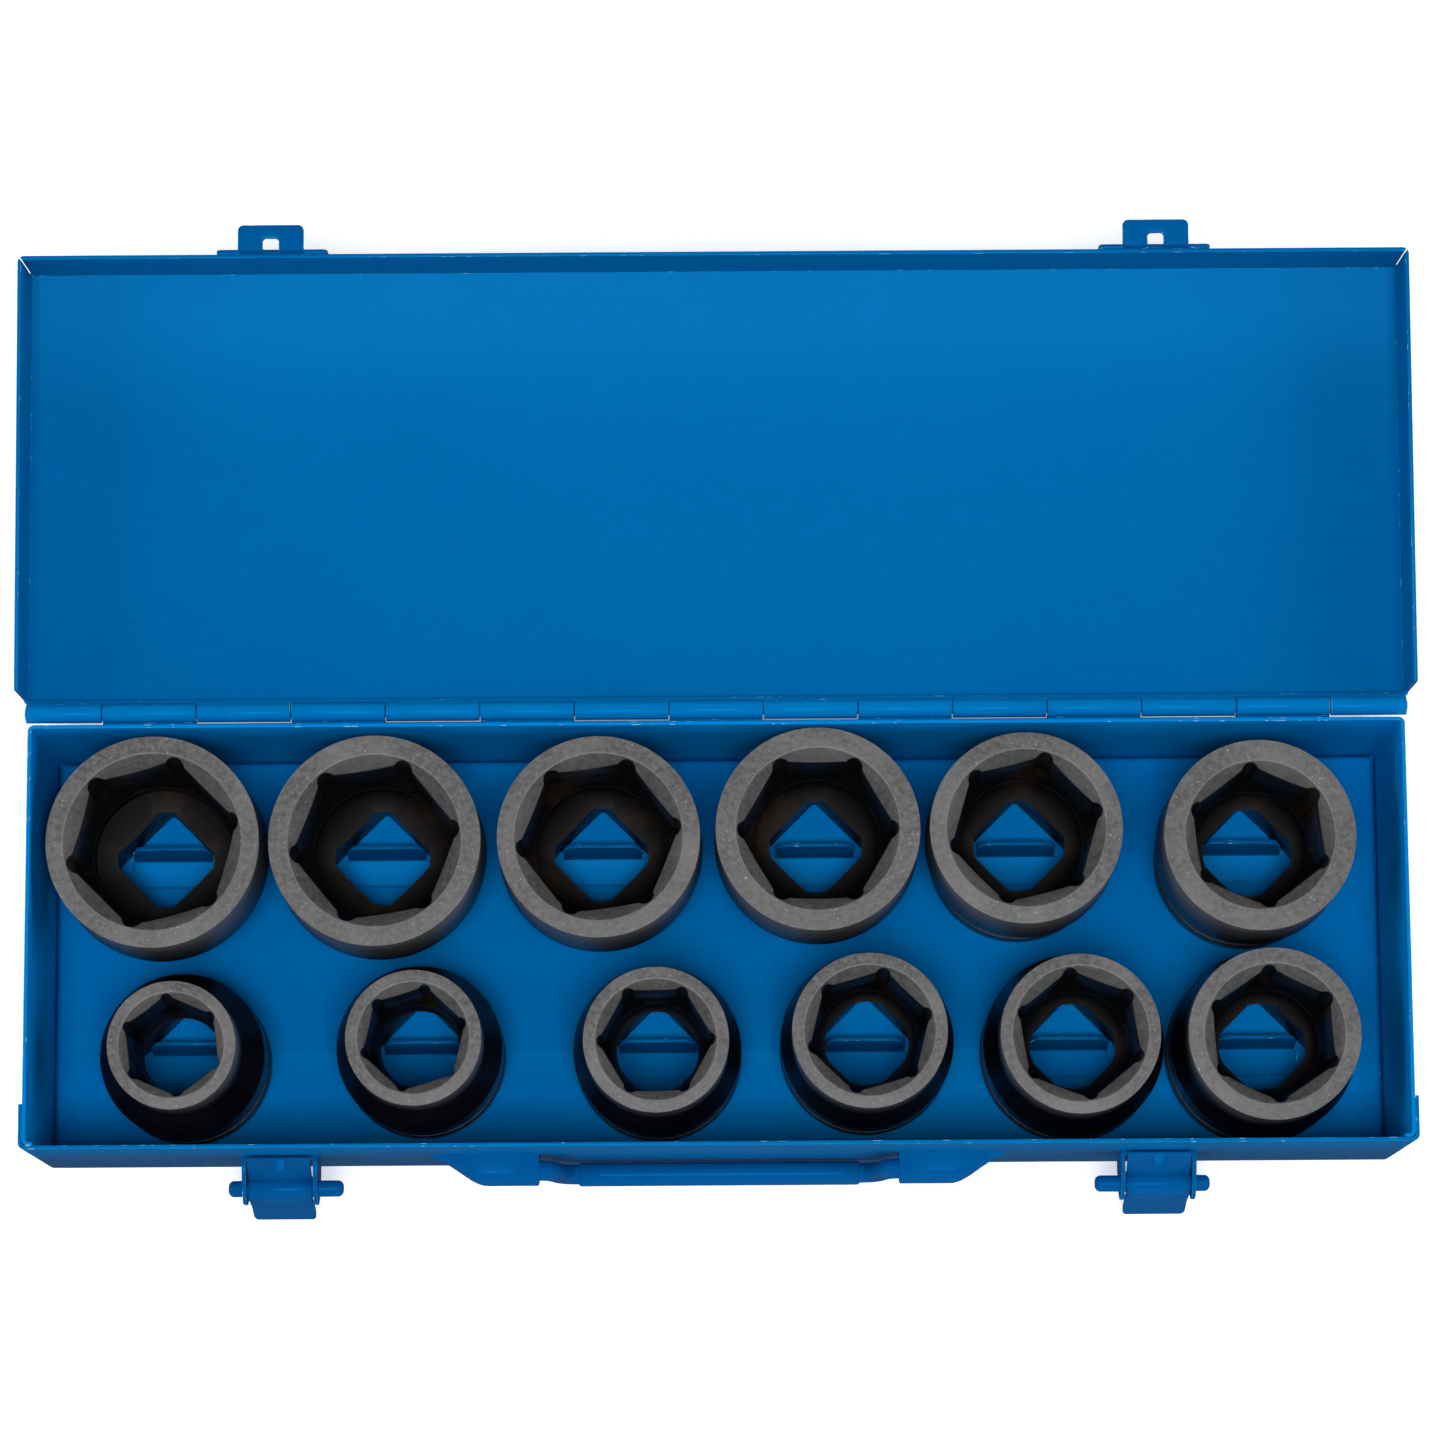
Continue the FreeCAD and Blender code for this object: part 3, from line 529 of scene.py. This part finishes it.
def make_bracket(name):
    """Pressed tunnel for one end of the handle; its outer end slopes down to the panel."""
    low, high = (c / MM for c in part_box(name))
    side = 1.0 if low.x > 0 else -1.0
    start, end = sorted((abs(low.x), abs(high.x)))
    axis_y, axis_z = swing_axis()
    panel = high.y
    reach, depth = panel - low.y, panel - axis_y
    half = high.z - axis_z
    sides = BRACKET_SIDES

    def section(share):
        """The outline where the tunnel has sunk to a share of its full height."""
        out = BRACKET_END + (reach - BRACKET_END) * share
        straight = depth * share
        height = half * (TIP_HEIGHT + (1 - TIP_HEIGHT) * share)
        points = []
        for i in range(sides):
            a = 2 * math.pi * (i + 0.5) / sides
            if math.cos(a) >= 0:
                points.append((panel - straight - (out - straight) * math.cos(a),
                               axis_z + height * math.sin(a)))
            else:
                up = max(-1.0, min(1.0, math.tan(math.pi - a) * 0.55))
                points.append((panel, axis_z + height * (math.copysign(1.0, math.sin(a))
                                                         if abs(up) >= 1.0 else up)))
        return points

    def circle(radius):
        return [(axis_y - radius * math.cos(2 * math.pi * (i + 0.5) / sides),
                 axis_z + radius * math.sin(2 * math.pi * (i + 0.5) / sides))
                for i in range(sides)]

    full = section(1.0)
    # the rounded lip around the bore, a little inside the full outline
    lip = [(y + (axis_y - y) * 0.06 if y < panel else y, z + (axis_z - z) * 0.05)
           for y, z in full]
    bore = circle(BRACKET_BORE)
    stations = [(start + BORE_DEPTH, bore), (start, bore),
                (start, circle(BRACKET_BORE + BORE_CHAMFER)), (start, lip),
                (start + 0.3, full), (start + BRACKET_TUNNEL - TAPER_EARLY, full)]
    slope = end - start - BRACKET_TUNNEL + TAPER_EARLY
    for k in range(1, TAPER_STEPS + 1):
        t = k / TAPER_STEPS
        stations.append((start + BRACKET_TUNNEL - TAPER_EARLY + slope * t,
                         section(1 - t * t * (3 - 2 * t))))
    rings = [[(side * x, y, z) for y, z in points] for x, points in stations]
    bm = lofted(rings)
    # the flat flange below the tunnel
    plate_end = end - FLANGE_SHORT
    plate = bmesh.ops.create_cube(bm, size=1.0)["verts"]
    middle = Vector((side * (start + plate_end) / 2, panel - FLANGE / 2, (low.z + axis_z) / 2))
    size = Vector((plate_end - start, FLANGE, axis_z - low.z))
    for v in plate:
        v.co = Vector(middle[i] + v.co[i] * size[i] for i in range(3)) * MM
    inside = set(plate)
    corners = [e for e in bm.edges if inside.issuperset(e.verts)
               and abs(e.verts[0].co.y - e.verts[1].co.y) > 0.5 * FLANGE * MM
               and e.verts[0].co.z < middle.z * MM]
    bmesh.ops.bevel(bm, geom=corners, offset=FLANGE_CORNER * MM, offset_type="OFFSET",
                    segments=6, profile=0.5, affect="EDGES")
    bmesh.ops.recalc_face_normals(bm, faces=bm.faces)
    add_piece(name, finish_mesh(bm, name + "_body"), [fitting_paint], smooth=40)


# ---------------------------------------------------------------- sockets

# nominal size: mouth diameter in mm, turn of the hexagon in degrees
SOCKETS = {
    21: (31.0, 37), 22: (32.8, 17), 24: (35.2, 1), 26: (37.5, 16), 27: (38.6, 39), 28: (41.6, 34),
    30: (46.5, 37), 32: (46.7, 14), 33: (49.6, 0), 34: (49.2, 8), 35: (51.4, 9), 36: (51.6, 15),
}
LARGEST_SMALL = 28      # sockets above this size step in to a narrower drive end
COLUMNS = 360           # points round a socket, one a degree
HEX_CLEARANCE = 0.3     # across flats, over the nominal size
HEX_SHARE = 0.42        # depth of the hexagon, of the socket's length
LOBE_SHARE = 0.07       # radius of the relief in the hexagon's corners, of its size
LOBE_SET_IN = 0.85      # its centre inside the corner, of its radius
MOUTH_ROUND = 2.2       # of the mouth's outer edge, before what each kind adds
MOUTH_LIP = 0.6         # countersink's rim outside the hexagon's corners
MOUTH_WALL = 0.6        # flat face left at least
MOUTH_SLOPE = 1.15      # the countersink's fall over its width
RELIEF_SHARE = 0.475    # radius of the round relief, of the socket's size
RELIEF_OVER_DRIVE = 0.8     # it is at least this much outside the drive square's flats
RELIEF_ABOVE_DRIVE = 4.2    # its floor above the drive hole's end
DRIVE_CORNER = 1.2
DRIVE_DEPTH = 17.0
# width of the chamfer at the drive hole's lower end; the cone above it starts this far below
# its upper end
DRIVE_LEAD = 0.6
LEDGE_FALL = 5.0        # height of the cone between the hexagon and the round relief
GROOVE_LOW, GROOVE_HIGH, GROOVE_DEPTH = 7.3, 11.7, 1.5      # for the retaining ring
LARGE_DRIVE_RADIUS = 22.0
LARGE_STEP = 27.0       # length of a large socket's wide end
STEP_FALL = 1.5         # the step's slope on the drive end's side
STEP_CHAMFER = 0.8      # and on the wide end's side
DRIVE_CHAMFER = 1.0
CONE_LOW, CONE_HIGH = 0.46, 0.66    # a small socket narrows between these shares of its length
MOUTH_FALL = 0.4        # the mouth's face slopes down this much to its outer edge, in mm


def hexagon_radius(angle, size, turn):
    """Distance to the wall of the lobed hexagonal pocket in one direction."""
    corner = (size + HEX_CLEARANCE) / math.sqrt(3)
    lobe = LOBE_SHARE * size
    centre = corner - LOBE_SET_IN * lobe
    off = (angle - turn + 30) % 60 - 30
    flat_off = (angle - turn) % 60 - 30
    flat = (size + HEX_CLEARANCE) / 2 / math.cos(math.radians(flat_off))
    across = centre * math.sin(math.radians(off))
    if abs(across) >= lobe:
        return flat
    return max(flat, centre * math.cos(math.radians(off)) + math.sqrt(lobe ** 2 - across ** 2))


def square_radius(angle):
    """Distance to the wall of the square drive hole, whose corners point along X and Y."""
    half, rounding = DRIVE_SQUARE / 2, DRIVE_CORNER
    off = angle % 90 - 45
    flat = half / math.cos(math.radians(off))
    centre = (half - rounding) * math.sqrt(2)
    corner_off = math.radians((angle + 45) % 90 - 45)
    across = centre * math.sin(corner_off)
    if abs(across) >= rounding:
        return flat
    return min(flat, centre * math.cos(corner_off) + math.sqrt(rounding ** 2 - across ** 2))


def socket_outside(mouth, widest, length, large):
    """Outline from the drive end up to the mouth's flat face."""
    drive = LARGE_DRIVE_RADIUS if large else widest
    line = [(drive - DRIVE_CHAMFER, 0, 0.4), (drive, DRIVE_CHAMFER, 0.4),
            (drive, GROOVE_LOW, 0.3), (drive - GROOVE_DEPTH, GROOVE_LOW, 0.3),
            (drive - GROOVE_DEPTH, GROOVE_HIGH, 0.3), (drive, GROOVE_HIGH, 0.3)]
    if large:
        shoulder = length - LARGE_STEP
        line += [(drive, shoulder - STEP_FALL, 0.8), (widest - STEP_CHAMFER, shoulder, 0.8),
                 (widest, shoulder + STEP_CHAMFER, 0.6),
                 (mouth, length - MOUTH_FALL, MOUTH_ROUND + 0.8)]
    else:
        line += [(widest, CONE_LOW * length, 1.6), (mouth, CONE_HIGH * length, 2.4),
                 (mouth, length - MOUTH_FALL, MOUTH_ROUND + 0.4)]
    return line


def make_socket(size, steel, oiled):
    """Loft of closed rings that run up the outside, over the mouth and down the inside."""
    node = "socket_%dmm" % size
    low, high = (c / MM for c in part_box(node))
    centre = (low + high) / 2
    length = high.z - low.z
    mouth_diameter, turn = SOCKETS[size]
    mouth, widest = mouth_diameter / 2, (high.x - low.x) / 2
    corner = (size + HEX_CLEARANCE) / math.sqrt(3)
    sink = min(corner + MOUTH_LIP, mouth - MOUTH_ROUND - MOUTH_WALL)
    outside = socket_outside(mouth, widest, length, size > LARGEST_SMALL)
    # each ring: (distance from the axis, height) for each direction, how dusty its points are, how
    # pale their edges are (partly wear, partly painted highlight), and whether the skin above it
    # is inside
    rings = []

    def ring(radius_height, face=0.0, edge=0.0, inside=True):
        rings.append(([radius_height(a) for a in range(COLUMNS)], face, edge, inside))

    ring(lambda a: (square_radius(a) + DRIVE_LEAD, 0.0), edge=0.2, inside=False)
    for radius, height in round_corners(outside):
        flat = height > length - MOUTH_FALL - 0.12
        bend = height > length - 1.1 and not flat
        ring(lambda a, r=radius, h=height: (r, h), 1.0 if flat else (0.25 if bend else 0.0),
             inside=False)
    # a thin painted highlight line where the countersink starts
    for out, drop, face, edge in ((0.40, 0.0, 1.0, 0.0), (0.26, 0.0, 1.0, 0.5),
                                  (0.08, 0.02, 0.8, 0.5), (-0.10, 0.12, 0.62, 0.0)):
        ring(lambda a, r=sink + out, h=length - drop: (r, h), face, edge, inside=False)

    def edge_height(a, grow=0.0):
        return length - max(sink - hexagon_radius(a, size, turn) - grow, 0.12) * MOUTH_SLOPE

    ring(lambda a: (min(hexagon_radius(a, size, turn) + 0.16, sink - 0.11), edge_height(a, 0.16)),
         0.6, 0.15, inside=False)
    ring(lambda a: (min(hexagon_radius(a, size, turn), sink - 0.12), edge_height(a) - 0.12),
         edge=0.15)
    hex_low = length * (1 - HEX_SHARE)
    for share in (0.05, 0.4, 0.75, 0.97):
        ring(lambda a, s=share: (min(hexagon_radius(a, size, turn), sink - 0.12),
                                 (edge_height(a) - 0.12) * (1 - s) + hex_low * s))
    relief = max(RELIEF_SHARE * size, DRIVE_SQUARE / 2 + RELIEF_OVER_DRIVE)
    relief_low = DRIVE_DEPTH + RELIEF_ABOVE_DRIVE
    # the ledge below the hexagon runs down to the round relief as a steep cone
    ring(lambda a: (max(hexagon_radius(a, size, turn) - 0.3, relief + 0.2), hex_low - 0.3))
    ring(lambda a: (relief + 0.16, hex_low - LEDGE_FALL + 0.2))
    ring(lambda a: (relief + 0.08, hex_low - LEDGE_FALL + 0.1), edge=0.22)
    ring(lambda a: (relief, hex_low - LEDGE_FALL - 0.05))
    ring(lambda a: (relief, relief_low + 0.4))
    cone_radius, cone_low = DRIVE_SQUARE / 2 - DRIVE_LEAD / 2, DRIVE_DEPTH - DRIVE_LEAD
    steepness = (relief_low - cone_low) / (relief - cone_radius)
    ceiling = DRIVE_DEPTH + 1.0
    ceiling_radius = cone_radius + (ceiling - cone_low) / steepness

    def cone_height(radius):
        return cone_low + (radius - cone_radius) * steepness

    def square_top(a, grow=0.0):
        radius = min(square_radius(a) + grow, ceiling_radius)
        return radius, cone_height(radius)

    ring(lambda a: (relief - 0.3, cone_height(relief - 0.3)))
    ring(lambda a: square_top(a, 0.3), edge=0.25)
    ring(lambda a: (square_radius(a), min(cone_height(square_radius(a)), ceiling) - 0.3), edge=0.3)
    ring(lambda a: (square_radius(a), min(cone_height(square_radius(a)), ceiling) - 1.2))
    ring(lambda a: (square_radius(a), 0.5))

    bm = bmesh.new()
    marks = [bm.verts.layers.float.new(name) for name in ("face", "edge")]
    loops = []
    for points, face, edge, _ in rings:
        loop = []
        for a, (radius, height) in enumerate(points):
            t = math.radians(a)
            v = bm.verts.new(((centre.x + radius * math.cos(t)) * MM,
                              (centre.y + radius * math.sin(t)) * MM, (low.z + height) * MM))
            v[marks[0]], v[marks[1]] = face, edge
            loop.append(v)
        loops.append(loop)
    for k, under in enumerate(loops):
        over = loops[(k + 1) % len(loops)]
        for i in range(COLUMNS):
            j = (i + 1) % COLUMNS
            quad = bm.faces.new((under[i], under[j], over[j], over[i]))
            quad.material_index = 1 if rings[k][3] else 0
    bmesh.ops.remove_doubles(bm, verts=bm.verts, dist=2 * WELD)
    bmesh.ops.recalc_face_normals(bm, faces=bm.faces)
    add_piece(node, finish_mesh(bm, node + "_body"), [steel, oiled])


# ---------------------------------------------------------------- build

make_camera()
make_studio()
# one blue enamel on the whole case: the hinge, pan and rack copies are lighter as painted light,
# and the fittings' copy is darker as painted shade
case_paint = enamel("case_enamel", srgb(0, 95, 156), srgb(0, 99, 161), srgb(0, 92, 153))
hinge_paint_with_painted_light = enamel("hinge_enamel_painted_light", srgb(0, 112, 178), srgb(0, 118, 186), srgb(0, 106, 170))
pan_paint_with_painted_light = enamel("pan_enamel_painted_light", srgb(0, 116, 190), srgb(0, 121, 196), srgb(0, 112, 186),
                   painted_light_band=(-1.0 * MM, 2.0 * MM, UNDER_RACK_PAINTED_LIGHT))
rack_paint = enamel("rack_enamel_painted_light", srgb(0, 114, 188), srgb(0, 119, 194), srgb(0, 110, 184),
                    painted_light_band=(RACK_TOP + 0.4 * MM, RACK_TOP + TONGUE_HEIGHT, TONGUE_PAINTED_SHADE))
fitting_paint = enamel("fitting_enamel_painted_shade", srgb(0, 82, 143), srgb(0, 88, 149), srgb(0, 76, 136))
socket_black = phosphated_steel("socket_black_phosphate")
socket_oiled = oiled_steel("socket_oiled_inside")
SLOT_OF = {part["node"]: part["material_slot"] for part in frame["record"]["subparts"]}
SPECIAL_PAINTS = {"base_pan": pan_paint_with_painted_light, "hinge_leaf_case": hinge_paint_with_painted_light,
                  "hinge_leaf_lid": hinge_paint_with_painted_light}
PAINTS = {"case_paint": case_paint, "rack_paint": rack_paint, "fitting_paint": fitting_paint}

for name in frame["nodes"]:
    if name.startswith("handle_bracket"):
        make_bracket(name)
    elif name != "carry_handle" and (name == "socket_rack" or not name.startswith("socket_")):
        soften(name)
make_handle()
for size in SOCKETS:
    make_socket(size, socket_black, socket_oiled)
